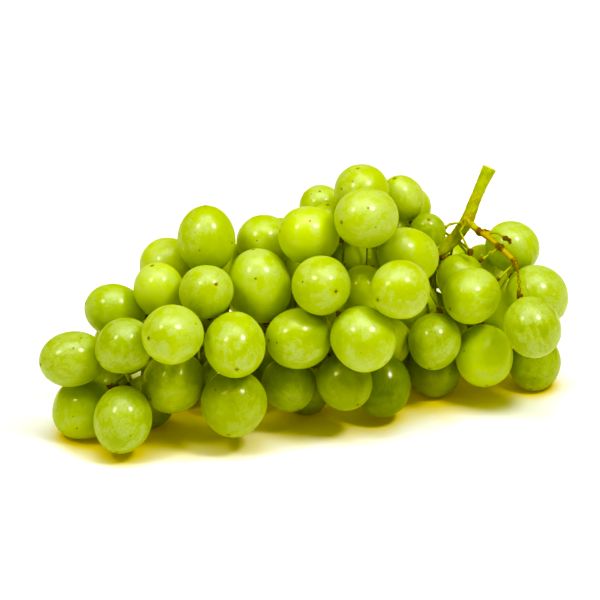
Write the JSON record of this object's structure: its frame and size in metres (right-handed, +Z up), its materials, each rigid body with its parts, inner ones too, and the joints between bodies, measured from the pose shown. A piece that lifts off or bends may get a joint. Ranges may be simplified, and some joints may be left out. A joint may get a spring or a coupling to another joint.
{
  "type": "bunch of grapes",
  "caption": "Bunch of round green table grapes lying on its side: a branching green stem with a cut end, carrying plump berries packed close together.",
  "frame": {"origin": "middle of the bunch's box, on the surface that it lies on", "axes": "+X along the bunch from its tip to its cut stem, +Y to the back, +Z up"},
  "size_m": [0.1894, 0.1082, 0.09],
  "materials": {
    "stem": "satin green bark, brown at the joints",
    "skin": "smooth waxy skin with a thin bloom"
  },
  "bodies": {
    "root": {"stem": "stem", "tip_berry_01": "skin", "tip_berry_02": "skin", "tip_berry_03": "skin", "tip_berry_04": "skin", "tip_berry_05": "skin", "tip_berry_06": "skin", "front_berry_01": "skin", "front_berry_02": "skin", "front_berry_03": "skin", "front_berry_04": "skin", "front_berry_05": "skin", "front_berry_06": "skin", "front_berry_07": "skin", "front_berry_08": "skin", "front_berry_09": "skin", "front_berry_10": "skin", "front_berry_11": "skin", "front_berry_12": "skin", "front_berry_13": "skin", "front_berry_14": "skin", "front_berry_15": "skin", "crown_berry_01": "skin", "crown_berry_02": "skin", "crown_berry_03": "skin", "crown_berry_04": "skin", "crown_berry_05": "skin", "crown_berry_06": "skin", "crown_berry_07": "skin", "crown_berry_08": "skin", "crown_berry_09": "skin", "crown_berry_10": "skin", "crown_berry_11": "skin", "crown_berry_12": "skin", "crown_berry_13": "skin", "crown_berry_14": "skin", "crown_berry_15": "skin", "crown_berry_16": "skin", "crown_berry_17": "skin", "crown_berry_18": "skin", "shoulder_berry_01": "skin", "shoulder_berry_02": "skin", "shoulder_berry_03": "skin", "shoulder_berry_04": "skin", "shoulder_berry_05": "skin", "shoulder_berry_06": "skin", "shoulder_berry_07": "skin", "shoulder_berry_08": "skin", "shoulder_berry_09": "skin", "shoulder_berry_10": "skin", "shoulder_berry_11": "skin", "shoulder_berry_12": "skin", "shoulder_berry_13": "skin", "under_tip_berries": "skin", "under_middle_berries": "skin", "under_front_berries": "skin", "under_shoulder_berries": "skin", "back_tip_berries": "skin", "back_middle_berries": "skin", "back_shoulder_berries": "skin"}
  },
  "joints": []
}
